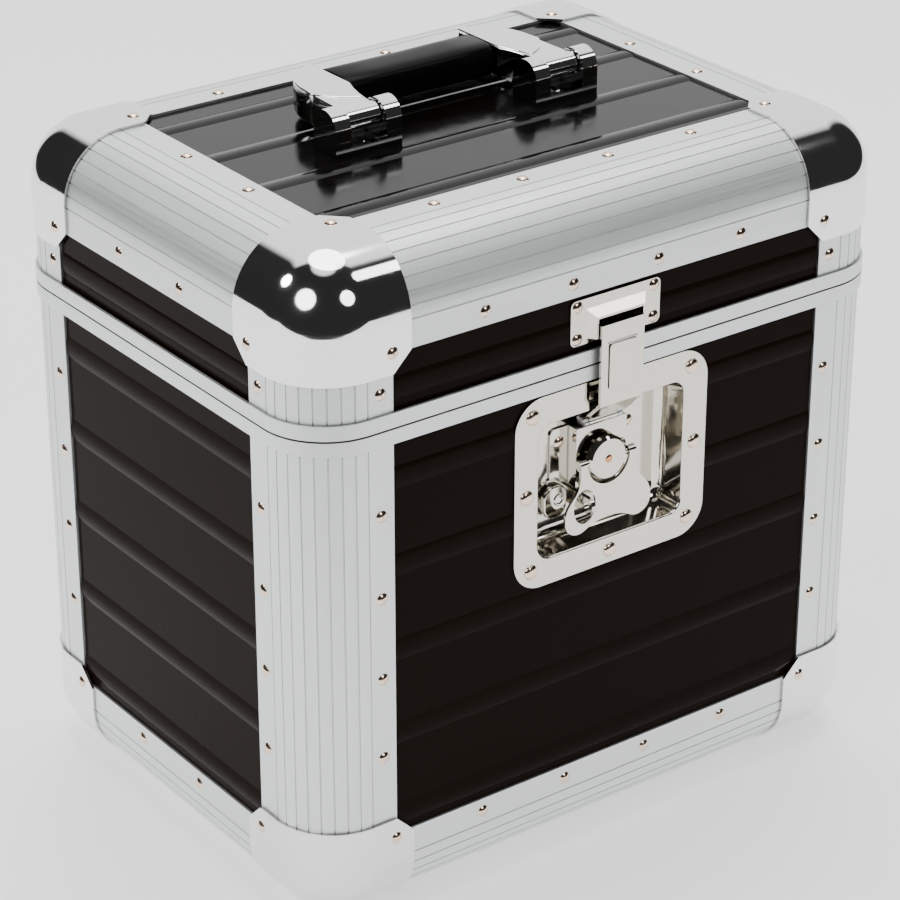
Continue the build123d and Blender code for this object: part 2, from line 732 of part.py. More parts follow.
def slider():
    """Plate behind the bracket, moved by the crank pin, with the hook's pivot at its top."""
    top = plateau_out - plateau_t - 2 * slide_gap - crank_disc_t
    low = top - slider_t
    half = slider_w / 2
    tall = hook_pivot_z + hook_knuckle_r - slider_low
    plate = Pos(0, slider_low + tall / 2) * Rectangle(slider_w, tall)
    slot_half = crank_pin_r + slide_gap
    slot_low = latch_z - hook_travel - slot_half - crank_extra
    slot_high = latch_z - hook_travel + slot_half
    slot = Pos(hook_travel / 2, (slot_low + slot_high) / 2)
    slot *= Rectangle(hook_travel + 2 * slot_half, slot_high - slot_low)
    body = on_front(plate - slot, low, top)
    y, z = front_point(-hook_pivot_in, hook_pivot_z)
    inner = hook_knuckle_half + part_gap
    for side in (-1, 1):
        x0, x1 = sorted((side * inner, side * half))
        body += rod((1, 0, 0), hook_knuckle_r, (x0, y, z), x1 - x0)
        low_z = hook_pivot_z - hook_knuckle_r + part_gap
        stalk = [(low, low_z), (-hook_pivot_in, low_z),
                 (-hook_pivot_in, hook_pivot_z + hook_knuckle_r),
                 (low, hook_pivot_z + hook_knuckle_r)]
        body += front_profile(stalk, x0, x1)
    gap_low = hook_pivot_z - hook_knuckle_r - 2 * part_gap
    gap_high = hook_pivot_z + 2 * hook_knuckle_r
    clear = [(top, gap_low), (top, gap_high), (low - 1, gap_high), (low - 1, gap_low)]
    body -= front_profile(clear, -inner, inner)
    return body + rod((1, 0, 0), hook_pin_r, (-half, y, z), slider_w)


def hook():
    """Strap bent out through the dish and over the seam, with a lip under the keeper's hood."""
    mid = hook_out - hook_t / 2
    half_t = hook_t / 2
    rise, run = hook_bend_z - hook_pivot_z, mid + hook_pivot_in
    length = math.hypot(rise, run)
    nx, nz = rise / length * half_t, -run / length * half_t
    start = hook_root_l / length
    s_out, s_z = -hook_pivot_in + run * start, hook_pivot_z + rise * start
    strap = [(s_out + nx, s_z + nz), (hook_out, hook_bend_z + nz), (hook_out, hook_top_z),
             (hook_lip_in, hook_top_z), (hook_lip_in, hook_top_z - hook_t),
             (hook_out - hook_t, hook_top_z - hook_t), (hook_out - hook_t, hook_bend_z - nz),
             (s_out - nx, s_z - nz)]
    body = front_profile(strap, -hook_half, hook_half)
    root = [(-hook_pivot_in + nx, hook_pivot_z + nz), (s_out + nx, s_z + nz),
            (s_out - nx, s_z - nz), (-hook_pivot_in - nx, hook_pivot_z - nz)]
    body += front_profile(root, -hook_knuckle_half, hook_knuckle_half)
    y, z = front_point(-hook_pivot_in, hook_pivot_z)
    body += rod((1, 0, 0), hook_knuckle_r, (-hook_knuckle_half, y, z), 2 * hook_knuckle_half)
    body -= rod((1, 0, 0), hook_pin_r + play, (-hook_half, y, z), 2 * hook_half)
    ry, rz = front_point(hook_out, hook_rib_z)
    return body + rod((1, 0, 0), hook_rib_r, (-hook_rib_l / 2, ry, rz), hook_rib_l)


# ---------------------------------------------------------------- keeper
def keeper():
    """Plate on the lid with a sloping hood and two cheeks round the hook's end."""
    top = keeper_t - panel_face
    z_mid = (keeper_low + keeper_high) / 2
    plate = Pos(0, z_mid) * RectangleRounded(2 * keeper_half, keeper_high - keeper_low, keeper_corner)
    window = Pos(0, (window_low + hood_lip_z) / 2) * Rectangle(2 * window_half, hood_lip_z - window_low)
    body = on_front(plate - window, -panel_face, top)
    outer = [(top, hood_root_z), (hood_out, hood_lip_z), (hood_out, cheek_low), (top, cheek_low)]
    inner = [(-panel_face, hood_root_z - hood_wall), (top, hood_root_z - hood_wall),
             (hood_out - hood_wall / 2, hood_lip_z - hood_wall), (hood_out + 1, hood_lip_z - hood_wall),
             (hood_out + 1, cheek_low - 1), (-panel_face, cheek_low - 1)]
    hood = front_profile(outer, -hood_half, hood_half)
    for side in (-1, 1):
        plane = Plane(origin=(0, 0, latch_zero), z_dir=(0, 0, 1))
        slope = face_of([(side * hood_half, face_y - top), (side * hood_half, face_y - hood_out - 1),
                         (side * (hood_lip_half - 1), face_y - hood_out - 1),
                         (side * hood_lip_half, face_y - hood_out)])
        hood -= Pos(0, 0, cheek_low - 1) * extrude(plane * slope, keeper_high - cheek_low)
    mouth = hook_half + 2 * part_gap
    hood -= front_profile(inner, -mouth, mouth)
    return drilled(body + hood, keeper_sites())


# ---------------------------------------------------------------- rear hinges
def hinge_knuckle_spans(lid_side):
    """X ranges of a leaf's knuckles about the hinge's middle."""
    step = hinge_w / hinge_knuckles
    first = 1 if lid_side else 0
    trim = hinge_side_gap / 2
    return [(-hinge_w / 2 + i * step + trim, -hinge_w / 2 + (i + 1) * step - trim)
            for i in range(first, hinge_knuckles, 2)]


def hinge_leaf_at(x_mid, lid_side):
    """One leaf, joggled from the panel's face over the rim's band to the hinge line."""
    up = 1 if lid_side else -1
    y_in = half_d - panel_face
    y_out = half_d + rim_proud
    axis_y = half_d + hinge_out
    clear = hinge_knuckle_r + part_gap
    bend = rim_leg + part_gap
    reach = hinge_lid_leaf if lid_side else hinge_leaf
    outline = [(y_out, clear), (y_out + hinge_t, clear), (y_out + hinge_t, bend + hinge_t),
               (y_in + hinge_t, bend + hinge_t + rim_proud), (y_in + hinge_t, reach), (y_in, reach),
               (y_in, bend + rim_proud), (y_out, bend)]
    points = [(y, seam_z + up * z) for y, z in outline]
    leaf = across_x(points, x_mid - hinge_w / 2, x_mid + hinge_w / 2)
    for x0, x1 in hinge_knuckle_spans(lid_side):
        tab = [(y_out, 0), (y_out + hinge_t, 0), (y_out + hinge_t, clear), (y_out, clear)]
        leaf += across_x([(y, seam_z + up * z) for y, z in tab], x_mid + x0, x_mid + x1)
        leaf += rod((1, 0, 0), hinge_knuckle_r, (x_mid + x0, axis_y, seam_z), x1 - x0)
    bore = rod((1, 0, 0), hinge_pin_r + play, (x_mid - hinge_w, axis_y, seam_z), 2 * hinge_w)
    return drilled(leaf - bore, hinge_sites(lid_side))


def hinge_pin(x_mid):
    return rod((1, 0, 0), hinge_pin_r, (x_mid - hinge_w / 2, half_d + hinge_out, seam_z), hinge_w)


# ---------------------------------------------------------------- handle
def top_point(y, h):
    return (y, roof_z + h)


def handle_bracket(side):
    """Cast bracket: two ears, a floor and a low bridge in front."""
    mid = side * handle_x
    x0, x1 = mid - bracket_span / 2, mid + bracket_span / 2
    front, back = handle_pin_y - ear_r, handle_pin_y + ear_r
    seat_h = -panel_face
    ear = [top_point(front, seat_h), top_point(back, seat_h),
           top_point(back, ear_mid_h), top_point(front, ear_mid_h)]
    block = across_x(ear, x0, x1)
    block += rod((1, 0, 0), ear_r, (x0, handle_pin_y, roof_z + ear_mid_h), bracket_span)
    room = box(x0 + ear_w, x1 - ear_w, front - 1, back + 1,
               roof_z + seat_h + bracket_floor_t, roof_z + 2 * ear_r + ear_mid_h)
    bridge = box(x0 + ear_w, x1 - ear_w, front, front + bridge_t, roof_z + seat_h, roof_z + bridge_h)
    body = block - room + bridge
    y, z = top_point(handle_pin_y, handle_pin_h)
    body -= rod((1, 0, 0), handle_pin_r + play, (x0 - 1, y, z), bracket_span + 2)
    for x in screw_places(side):
        hole_low = roof_z - panel_face - 1
        body -= rod((0, 0, 1), screw_r + play, (x, handle_pin_y, hole_low), screw_depth + 1 + play)
    return body


def screw_places(side):
    return [side * handle_x - bracket_span / 4, side * handle_x + bracket_span / 4]


def handle_screw(x):
    """Screw from inside the lid up into the bracket's floor."""
    inside = roof_z - panel_face - panel_t
    head = rod((0, 0, -1), screw_head_r, (x, handle_pin_y, inside), screw_head_t)
    return head + rod((0, 0, 1), screw_r, (x, handle_pin_y, inside), panel_t + screw_depth)


def arm_outline():
    """Plan of the right arm: a bar that runs into a round corner boss."""
    outer = handle_x + (bracket_span - 2 * ear_w) / 2 - barrel_gap
    inner = handle_x - (bracket_span - 2 * ear_w) / 2 + barrel_gap
    rear_x = collar_x + boss_over
    rear_y = boss_y + math.sqrt(boss_r ** 2 - (rear_x - boss_x) ** 2)
    side = Line((outer, handle_pin_y), (boss_x + boss_r, boss_y))
    corner = RadiusArc((boss_x + boss_r, boss_y), (rear_x, rear_y), -boss_r)
    rest = Polyline((rear_x, rear_y), (collar_x, rear_y), (collar_x, grip_y0 - arm_flare),
                    (inner - arm_flare, grip_y0 - 2 * arm_flare),
                    (inner, handle_pin_y + ear_r + ear_clear),
                    (inner, handle_pin_y), (outer, handle_pin_y))
    return make_face([side, corner, rest])


def handle_arm():
    """Right arm: barrel on the pin, bar, corner boss and a spigot into the grip."""
    plan = arm_outline()
    base = Plane(origin=(0, 0, roof_z + boss_low))
    bar = extrude(base * plan, arm_top - boss_low)
    disc = plan & Pos(boss_x, boss_y) * Circle(boss_r)
    bar += extrude(base * disc, boss_top - boss_low)
    under = [top_point(handle_pin_y - barrel_r, -1), top_point(grip_y0 - arm_flare, -1),
             top_point(grip_y0 - arm_flare, boss_low), top_point(arm_rise_y, arm_low),
             top_point(handle_pin_y - barrel_r, arm_low)]
    bar -= across_x(under, 0, half_w)
    x0 = handle_x - bracket_span / 2 + ear_w + barrel_gap
    x1 = handle_x + bracket_span / 2 - ear_w - barrel_gap
    y, z = top_point(handle_pin_y, handle_pin_h)
    body = bar + rod((1, 0, 0), barrel_r, (x0, y, z), x1 - x0)
    body -= rod((1, 0, 0), handle_pin_r + play, (x0 - 1, y, z), x1 - x0 + 2)
    gy, gz = top_point((grip_y0 + grip_y1) / 2, (grip_low + grip_top) / 2)
    return body + rod((-1, 0, 0), spigot_r, (collar_x, gy, gz), spigot_l)


def grip():
    """Moulded grip between the two arms, bored for their spigots."""
    y_mid, h_mid = (grip_y0 + grip_y1) / 2, (grip_low + grip_top) / 2
    plane = Plane(origin=(-collar_x, y_mid, roof_z + h_mid), x_dir=(0, 1, 0), z_dir=(1, 0, 0))
    section = RectangleRounded(grip_y1 - grip_y0, grip_top - grip_low, grip_corner)
    bore = Circle(spigot_r + play)
    body = extrude(plane * section, 2 * collar_x)
    hole = extrude(plane * bore, spigot_l + 1)
    return body - hole - mirror(hole, about=Plane.YZ)


def handle_pin(side):
    x0 = side * handle_x - bracket_span / 2
    return rod((1, 0, 0), handle_pin_r, (x0, handle_pin_y, roof_z + handle_pin_h), bracket_span)


# ---------------------------------------------------------------- the whole case
def build_frame():
    """Frame, panels, rims and rivets of the base and the lid."""
    base_sites = frame_sites(False)
    lid_sites = frame_sites(True)
    base_post = drilled(post(floor_z + frame_radius, base_top), base_sites)
    lid_post = drilled(post(lid_low, roof_z - frame_radius), lid_sites)
    rail_x = drilled(front_rail(), base_sites)
    rail_y = drilled(side_rail(), base_sites)
    corner = Pos(-half_w, -half_d, floor_z) * ball_corner()
    sunk = Pos(-half_w + cap_rivet, -half_d + cap_rivet, 0) * Cylinder(rivet_head_r + rivet_play, height / 2)
    base_corner = drilled(corner, base_sites) - sunk
    lid_corner = drilled(to_top(corner), lid_sites)
    for right, x_name in ((False, "left"), (True, "right")):
        keep(f"base_rail_{x_name}", place(rail_y, right, False))
        keep(f"lid_rail_{x_name}", place(to_top(rail_y), right, False))
        for back, y_name in ((False, "front"), (True, "back")):
            name = f"{y_name}_{x_name}"
            keep(f"base_post_{name}", place(base_post, right, back))
            keep(f"lid_post_{name}", place(lid_post, right, back))
            keep(f"base_corner_{name}", place(base_corner, right, back))
            keep(f"lid_corner_{name}", place(lid_corner, right, back))
    for back, y_name in ((False, "front"), (True, "back")):
        keep(f"base_rail_{y_name}", place(rail_x, False, back))
        keep(f"lid_rail_{y_name}", place(to_top(rail_x), False, back))
    keep("base_rim", base_rim())
    keep("lid_rim", lid_rim())
    keep("base_rivets", rivets_at(base_sites + hinge_sites(False)))
    keep("lid_rivets", rivets_at(lid_sites + hinge_sites(True) + keeper_sites()))


def clear_ridges(bars, low, high):
    """Cut a box out of the ridges of a panel."""
    cutter = box(low[0], high[0], low[1], high[1], low[2], high[2])
    return [piece for bar in bars for piece in (bar - cutter).solids()]


def build_panels():
    """The ten panels and the two foam pads."""
    base_sites = frame_sites(False)
    lid_sites = frame_sites(True)
    side = drilled(side_panel(False), base_sites)
    lid_side = drilled(side_panel(True), lid_sites)
    for right, name in ((False, "left"), (True, "right")):
        keep(f"base_panel_{name}", place(side, right, False))
        keep(f"lid_panel_{name}", place(lid_side, right, False))
    reach = dish_w / 2 + part_gap
    far = face_y - 2 * ridge_h
    z0 = latch_zero + dish_mid_z - dish_h / 2 - part_gap
    z1 = latch_zero + dish_mid_z + dish_h / 2 + part_gap
    panel, bars = front_panel(False)
    near = face_y + panel_face
    front = panel + clear_ridges(bars, (-reach, far, z0), (reach, near, z1)) - dish_hole()
    keep("base_panel_front", drilled(front, base_sites + dish_sites()))
    leaf = hinge_x + hinge_w / 2 + part_gap
    inner = hinge_x - hinge_w / 2 - part_gap
    back_bars = bars
    for x0, x1 in ((-leaf, -inner), (inner, leaf)):
        back_bars = clear_ridges(back_bars, (x0, far, seam_z - hinge_leaf - 1), (x1, near, seam_z))
    back = mirror(panel + back_bars, about=Plane.XZ)
    keep("base_panel_back", drilled(back, base_sites + hinge_sites(False)))
    lid_panel, lid_bars = front_panel(True)
    half = keeper_half + part_gap
    low, high = latch_zero + keeper_low - part_gap, latch_zero + keeper_high + part_gap
    lid_front = lid_panel + clear_ridges(lid_bars, (-half, far, low), (half, near, high))
    keep("lid_panel_front", drilled(lid_front, lid_sites + keeper_sites()))
    back_bars = lid_bars
    for x0, x1 in ((-leaf, -inner), (inner, leaf)):
        back_bars = clear_ridges(back_bars, (x0, far, seam_z), (x1, near, seam_z + hinge_lid_leaf + 1))
    lid_back = mirror(lid_panel + back_bars, about=Plane.XZ)
    keep("lid_panel_back", drilled(lid_back, lid_sites + hinge_sites(True)))
    keep("base_panel_bottom", drilled(flat_panel(False), base_sites))
    screws = [rod((0, 0, 1), screw_r + play, (x, handle_pin_y, roof_z - height / 2), height)
              for s in (-1, 1) for x in screw_places(s)]
    keep("lid_panel_top", drilled(flat_panel(True) - screws, lid_sites))
    foam_x, foam_y = half_w - frame_reach - foam_inset, half_d - frame_reach - foam_inset
    inside = panel_face + panel_t
    keep("base_foam", box(-foam_x, foam_x, -foam_y, foam_y, floor_z + inside, floor_z + inside + foam_t))
    pad = box(-foam_x, foam_x, -foam_y, foam_y, roof_z - inside - foam_t, roof_z - inside)
    heads = [rod((0, 0, 1), screw_head_r + part_gap, (x, handle_pin_y, roof_z - height / 2), height)
             for s in (-1, 1) for x in screw_places(s)]
    keep("lid_foam", pad - heads)


def build_latch():
    keep("latch_dish", latch_dish())
    keep("latch_bracket", latch_bracket())
    keep("latch_rivets", rivets_at(dish_sites() + bracket_sites()))
    keep("padlock_staple", padlock_staple())
    keep("latch_rotor", rotor())
    keep("latch_wing", wing())
    keep("latch_slider", slider())
    keep("latch_hook", hook())
    keep("latch_keeper", keeper())


def build_hinges():
    keep("hinge_base_leaves", [hinge_leaf_at(side * hinge_x, False) for side in (-1, 1)])
    keep("hinge_lid_leaves", [hinge_leaf_at(side * hinge_x, True) for side in (-1, 1)])
    keep("hinge_pins", [hinge_pin(side * hinge_x) for side in (-1, 1)])


def build_handle():
    keep("handle_bracket_left", handle_bracket(-1))
    keep("handle_bracket_right", handle_bracket(1))
    keep("handle_pins", [handle_pin(side) for side in (-1, 1)])
    keep("handle_screws", [handle_screw(x) for side in (-1, 1) for x in screw_places(side)])
    arm = handle_arm()
    keep("handle_arm_right", arm)
    keep("handle_arm_left", mirror(arm, about=Plane.YZ))
    keep("handle_grip", grip())


build_frame()
build_panels()
build_latch()
build_hinges()
build_handle()
print(len(nodes), "nodes,", sum(len(s) for s in nodes.values()), "solids")
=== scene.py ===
"""Record carrying case, dressed: anodised frame, black laminate, chromed corners, latch, handle."""
import json
import math

import bmesh
import bpy
from mathutils import Matrix, Vector
from mathutils.geometry import convex_hull_2d, intersect_point_line


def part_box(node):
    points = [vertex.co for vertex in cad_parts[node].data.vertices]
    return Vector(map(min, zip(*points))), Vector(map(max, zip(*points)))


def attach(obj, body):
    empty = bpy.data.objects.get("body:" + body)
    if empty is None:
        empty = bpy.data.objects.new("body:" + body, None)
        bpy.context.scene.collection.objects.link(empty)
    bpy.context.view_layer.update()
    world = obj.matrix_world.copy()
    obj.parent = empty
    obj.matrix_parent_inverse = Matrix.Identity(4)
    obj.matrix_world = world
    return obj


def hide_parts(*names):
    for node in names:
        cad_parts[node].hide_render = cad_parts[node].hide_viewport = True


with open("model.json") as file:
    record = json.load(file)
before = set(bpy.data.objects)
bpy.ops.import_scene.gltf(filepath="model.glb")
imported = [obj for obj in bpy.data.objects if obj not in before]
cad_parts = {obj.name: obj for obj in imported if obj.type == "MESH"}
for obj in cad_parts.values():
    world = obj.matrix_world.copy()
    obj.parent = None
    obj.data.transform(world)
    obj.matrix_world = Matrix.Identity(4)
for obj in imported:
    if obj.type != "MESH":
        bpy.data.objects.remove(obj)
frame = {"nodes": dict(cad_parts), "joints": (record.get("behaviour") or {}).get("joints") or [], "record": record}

bl_info = {
    "name": "Record Carrying Case",
    "version": (1, 0, 0),
    "blender": (4, 5, 0),
    "location": "View3D > Sidebar > Case",
    "description": "Dresses an aluminium framed record case: finishes, handle and latch details",
    "category": "Object",
}

MM = 0.001
FORWARD, ALONG_PIN = (0, -1, 0), (1, 0, 0)
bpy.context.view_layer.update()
NODES = frame["nodes"]


def joint_place(name):
    """The point that a joint of the frame turns about."""
    return Vector(next(joint for joint in frame["joints"] if joint["name"] == name)["pos_m"])


# ---------------------------------------------------------------- places taken from the frame
HANDLE_PIVOT = joint_place("handle_swing")
ROTOR_CENTRE = joint_place("rotor_turn")
ARM_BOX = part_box("handle_arm_right")
GRIP_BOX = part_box("handle_grip")
(_, GRIP_FRONT, GRIP_LOW), (COLLAR_X, GRIP_REAR, GRIP_HIGH) = GRIP_BOX

# ---------------------------------------------------------------- finishes
SEAM_SHADE_COLOUR = "#1c1a18"          # painted shade colour where two pieces meet
SEAM_SHADE_DEPTH = 0.8                 # how far the painted seam shade goes towards that colour
OPEN_SKY = (0.25, 0.80)          # shares of open sky at which the painted seam shade is darkest and clear
NOISE_RANGE = (0.3, 0.7)         # noise mostly stays between these values
DIE_LINE_STRETCH = 0.01          # die lines are a hundred times as long as they are apart
# finish: least and greatest roughness, length and height of its waves
PLATINGS = {
    "chromed_pressed_steel": (0.05, 0.10, 25 * MM, 0.10 * MM),
    "chromed_die_cast_zinc": (0.04, 0.08, 20 * MM, 0.05 * MM),
    "chromed_handle_arm": (0.05, 0.10, 20 * MM, 0.05 * MM),
    "nickel_plated_pressed_steel": (0.07, 0.12, 18 * MM, 0.08 * MM),
    "nickel_plated_rivet": (0.12, 0.20, 4 * MM, 0.02 * MM),
    "zinc_plated_steel": (0.28, 0.40, 6 * MM, 0.05 * MM),
    "copper_rivet": (0.20, 0.30, 2 * MM, 0.02 * MM),
}
# specular levels of one laminate: the lid's top is a lit copy with a stronger painted reflection than the walls
SATIN_GLOSS, TOP_PAINTED_REFLECTION_GLOSS = 0.02, 0.16

# ---------------------------------------------------------------- edges and the parting line
MELT_ANGLE = math.radians(0.5)
SHARP_ANGLE = math.radians(40)
# CAD nodes whose edges are rounded, and by how much
ROUNDED_NODES = {
    "handle_bracket_left": 1.2 * MM, "handle_bracket_right": 1.2 * MM, "latch_bracket": 0.5 * MM,
    "latch_keeper": 0.5 * MM, "latch_hook": 0.5 * MM, "latch_wing": 0.4 * MM,
    "padlock_staple": 0.4 * MM,
}
PARTING_GAP = 0.3 * MM           # between the two rims
PARTING_SHIFT = 0.35 * MM        # how far each rim's outer edge draws back from it
TOUCH = 0.02 * MM                # points nearer than this count as on a line or plane

# ---------------------------------------------------------------- latch
ROTOR_RIVET_R, ROTOR_RIVET_RISE = 2.2 * MM, 0.5 * MM
WIDE_HEAD_R, WIDE_HEAD_RISE = 4.0 * MM, 1.75 * MM
# heads as shares of the radius and the rise: a flat button, and a dome with a low straight edge
BUTTON = ((1.0, -0.4), (1.0, 0.2), (0.8, 0.7), (0.45, 1.0), (0.0, 1.0))
DOME = ((0.0, -0.1), (0.97, -0.1), (1.0, 0.06), (0.97, 0.24), (0.86, 0.5), (0.68, 0.74),
        (0.45, 0.9), (0.22, 0.98), (0.0, 1.0))
# (x, z) of the dish's rivets, in millimetres
DISH_RIVETS = ((-50.6, 257.5), (50.6, 257.5), (-53.8, 214.5), (53.8, 214.5), (-50.6, 172.0),
               (50.6, 172.0), (0, 168.9))
PAD_MIDDLE_Z = 275.5 * MM
PAD_HALF_X, PAD_HALF_Z = 8.6 * MM, 12.5 * MM
PAD_RISE, PAD_ROOT = 0.35 * MM, 0.3 * MM
PAD_CORNER, PAD_ROUND = 2 * MM, 0.3 * MM
LUG_X, LUG_Z = -25.6 * MM, 198.5 * MM
LUG_HALF_X, LUG_HALF_Z = 7.4 * MM, 9.0 * MM
LUG_RISE, LUG_ROOT = 4.2 * MM, 1 * MM
LUG_CORNER, LUG_ROUND = 6.5 * MM, 0.9 * MM
EYELET_OFF_X, EYELET_OFF_Z = 2 * MM, 1 * MM
EYELET_HOLE, EYELET_RIM = 2.0 * MM, 3.4 * MM
# (radius, height) of the eyelet, from its hole out
EYELET = ((EYELET_HOLE, -0.3 * MM), (EYELET_HOLE, 0.2 * MM), (EYELET_HOLE + 0.4 * MM, 0.6 * MM),
          (EYELET_RIM - 0.5 * MM, 0.6 * MM), (EYELET_RIM, 0.1 * MM), (EYELET_RIM, -0.3 * MM))

# ---------------------------------------------------------------- handle
ARM_INNER, ARM_OUTER = 52.0 * MM, 72.8 * MM      # ends of the barrel on the pin
BARREL_RADIUS, BARREL_LIP = 6.0 * MM, 0.6 * MM
BARREL_BACK = 6 * MM             # where the bar leaves the barrel, behind the pin
BAR_DRAFT = 3 * MM               # how far the bar widens towards the grip
BAR_LIFT = 5.0 * MM              # the bar's underside is this much above the boss's
BAR_ROUND, BOSS_ROUND = 1.4 * MM, 1.0 * MM
ARM_STEP = 0.6 * MM              # the round boss stands this much above the bar
NECK_BACK, NECK_FRONT = 2 * MM, 10 * MM          # the neck's ends, in front of the grip
RAMP_BACK, RAMP_FRONT = 2 * MM, 12 * MM          # the ramp's ends on the underside
RAMP_EDGE = 11 * MM              # points of the underside in front of this are raised
BOSS, BOSS_RADIUS = Vector((40.0, 27.0)) * MM, 31.5 * MM
BOSS_REAR_X = 48.6 * MM
STEP_ARC, STEP_RADIUS = Vector((41.0, 33.0)) * MM, 34.0 * MM     # the boss's step across the arm
STEP_START, STEP_END_Y = -69, 20.0 * MM
STEP_DRAFT = 2.4 * MM
GRIP_STEPS, GRIP_SQUARENESS = 64, 0.55
# (share of the half length, inset in millimetres) along the grip
GRIP_STATIONS = ((-1.0, 1.2), (-0.985, 0.35), (-0.965, 0.0), (-0.5, 0.15), (0.0, 0.3),
                 (0.5, 0.15), (0.965, 0.0), (0.985, 0.35), (1.0, 1.2))
EAR_GAP = 21.6 * MM              # between the ears of a handle bracket
WEB_THICK = 1.6 * MM
WEB_LOW, WEB_HIGH = 2 * MM, 8.4 * MM

# ---------------------------------------------------------------- studio
FLOOR_OUTLINE = ((-2.2, -1.0), (2.2, -1.0), (2.2, 6.0), (-2.2, 6.0))
FLOOR_THICK, FLOOR_GLOW = 0.01, 0.7
BACKDROP_BEHIND = (0.12, 0.24)   # cosines at which the backdrop sets in, away from the camera
BACKDROP_SIDE = (0.50, 0.62)     # and fades out to either side
CEILING = (0.95, 0.98)           # and at which the white ceiling sets in
ROOM_DARK, ROOM_WHITE = 0.03, 1.7
LAMP_TARGET = (0, 0, 0.2)
# name, place, width and share of the main lamp's power
LAMPS = (
    ("top_soft_box", (0.3, 0.3, 2.6), 1.8, 0.7),
    ("near_lamp", (-3.0, -1.2, 2.4), 2.0, 1.0),
    ("front_lamp", (0.3, -3.1, 2.3), 1.4, 0.45),
    ("right_lamp", (1.7, -1.4, 2.7), 0.8, 0.15),
    ("left_lamp", (-2.7, 1.7, 2.9), 1.1, 0.9),
)
CAMERA_AZIMUTH = math.radians(-36.49)
CAMERA_ELEVATION = math.radians(26.51)
CAMERA_PLACE = Vector((-0.89873, -1.21460, 0.92447))
CAMERA_LENS, CAMERA_SENSOR, CAMERA_FAR = 125.59, 36.0, 50


# ---------------------------------------------------------------- settings a user would change
class CaseFinish(bpy.types.PropertyGroup):
    """Colours of the case."""

    aluminium: bpy.props.StringProperty(
        name="Aluminium", description="Frame sections, sRGB hex", default="#dfe1e2")
    # the lid's top panel: a darker copy of the same laminate as the walls, made to carry a painted reflection
    laminate_top_lit_copy: bpy.props.StringProperty(
        name="Top Laminate", description="Lid's polished top panel, sRGB hex", default="#060504")
    laminate: bpy.props.StringProperty(
        name="Laminate", description="Panel face, sRGB hex", default="#170f0b")
    chrome: bpy.props.StringProperty(
        name="Chrome", description="Plated steel and zinc, sRGB hex", default="#e9e9ea")
    nickel: bpy.props.StringProperty(
        name="Nickel", description="Latch, sRGB hex", default="#cecac1")
    zinc: bpy.props.StringProperty(
        name="Zinc", description="Hinges and slider, sRGB hex", default="#b9bcc0")
    copper: bpy.props.StringProperty(
        name="Copper", description="Rotor's centre rivet, sRGB hex", default="#c98d63")
    grip: bpy.props.StringProperty(
        name="Grip", description="Moulded grip, sRGB hex", default="#0b0b0b")
    rivet: bpy.props.StringProperty(
        name="Rivet", description="Copper washed nickel of the rivet heads, sRGB hex",
        default="#e4ccb8")
    foam: bpy.props.StringProperty(
        name="Foam", description="Pads inside, sRGB hex", default="#2a2b2e")
    floor: bpy.props.StringProperty(
        name="Floor", description="Studio floor, sRGB hex", default="#f4f4f4")


class CaseSizes(bpy.types.PropertyGroup):
    """A size and a power that the frame doesn't hold."""

    draw_lines: bpy.props.FloatProperty(
        name="Draw lines", description="Spacing of the die lines along the frame sections",
        default=1.4 * MM, min=0.1 * MM, unit="LENGTH")
    lamp_power: bpy.props.FloatProperty(
        name="Lamp power", description="Power of the main soft lamp",
        default=60.0, min=0.0, unit="POWER")


# ---------------------------------------------------------------- shader helpers
def linear(hex_colour):
    """sRGB hex to linear RGBA."""
    channels = [int(hex_colour[i:i + 2], 16) / 255 for i in (1, 3, 5)]
    return [c / 12.92 if c <= 0.04045 else ((c + 0.055) / 1.055) ** 2.4
            for c in channels] + [1.0]


def add_node(tree, kind, inputs=None, **settings):
    """One shader node with its settings, values and links."""
    node = tree.nodes.new(kind)
    for name, value in settings.items():
        setattr(node, name, value)
    for name, value in (inputs or {}).items():
        if isinstance(value, bpy.types.NodeSocket):
            tree.links.new(value, node.inputs[name])
        else:
            node.inputs[name].default_value = value
    return node


def new_material(name, **values):
    """A material with its Principled shader, whose sockets take the values (spaces as _)."""
    material = bpy.data.materials.new(name)
    material.use_nodes = True
    tree = material.node_tree
    shader = tree.nodes["Principled BSDF"]
    for socket, value in values.items():
        shader.inputs[socket.replace("_", " ")].default_value = value
    return material, tree, shader


def coordinates(tree, spacing, stretch=(1.0, 1.0, 1.0)):
    """Object coordinates in units of a spacing, drawn out along an axis by a factor below one."""
    place = add_node(tree, "ShaderNodeTexCoord")
    scale = [s / spacing for s in stretch]
    mapping = {"Vector": place.outputs["Object"], "Scale": scale}
    return add_node(tree, "ShaderNodeMapping", mapping).outputs[0]


def noise(tree, place, detail, roughness=0.5):
    """Cloudy noise, with about one cloud to each unit of the place."""
    return add_node(tree, "ShaderNodeTexNoise", {
        "Vector": place, "Scale": 1.0, "Detail": detail, "Roughness": roughness}).outputs["Fac"]


def vary_gloss(tree, shader, texture, low, high):
    """Roughness that follows a texture between two values."""
    rough = add_node(tree, "ShaderNodeMapRange", {
        "Value": texture, "From Min": NOISE_RANGE[0], "From Max": NOISE_RANGE[1],
        "To Min": low, "To Max": high})
    tree.links.new(rough.outputs["Result"], shader.inputs["Roughness"])


def emboss(tree, shader, texture, strength, height):
    """Fine relief that follows a texture."""
    bump = add_node(tree, "ShaderNodeBump", {
        "Height": texture, "Strength": strength, "Distance": height})
    tree.links.new(bump.outputs["Normal"], shader.inputs["Normal"])


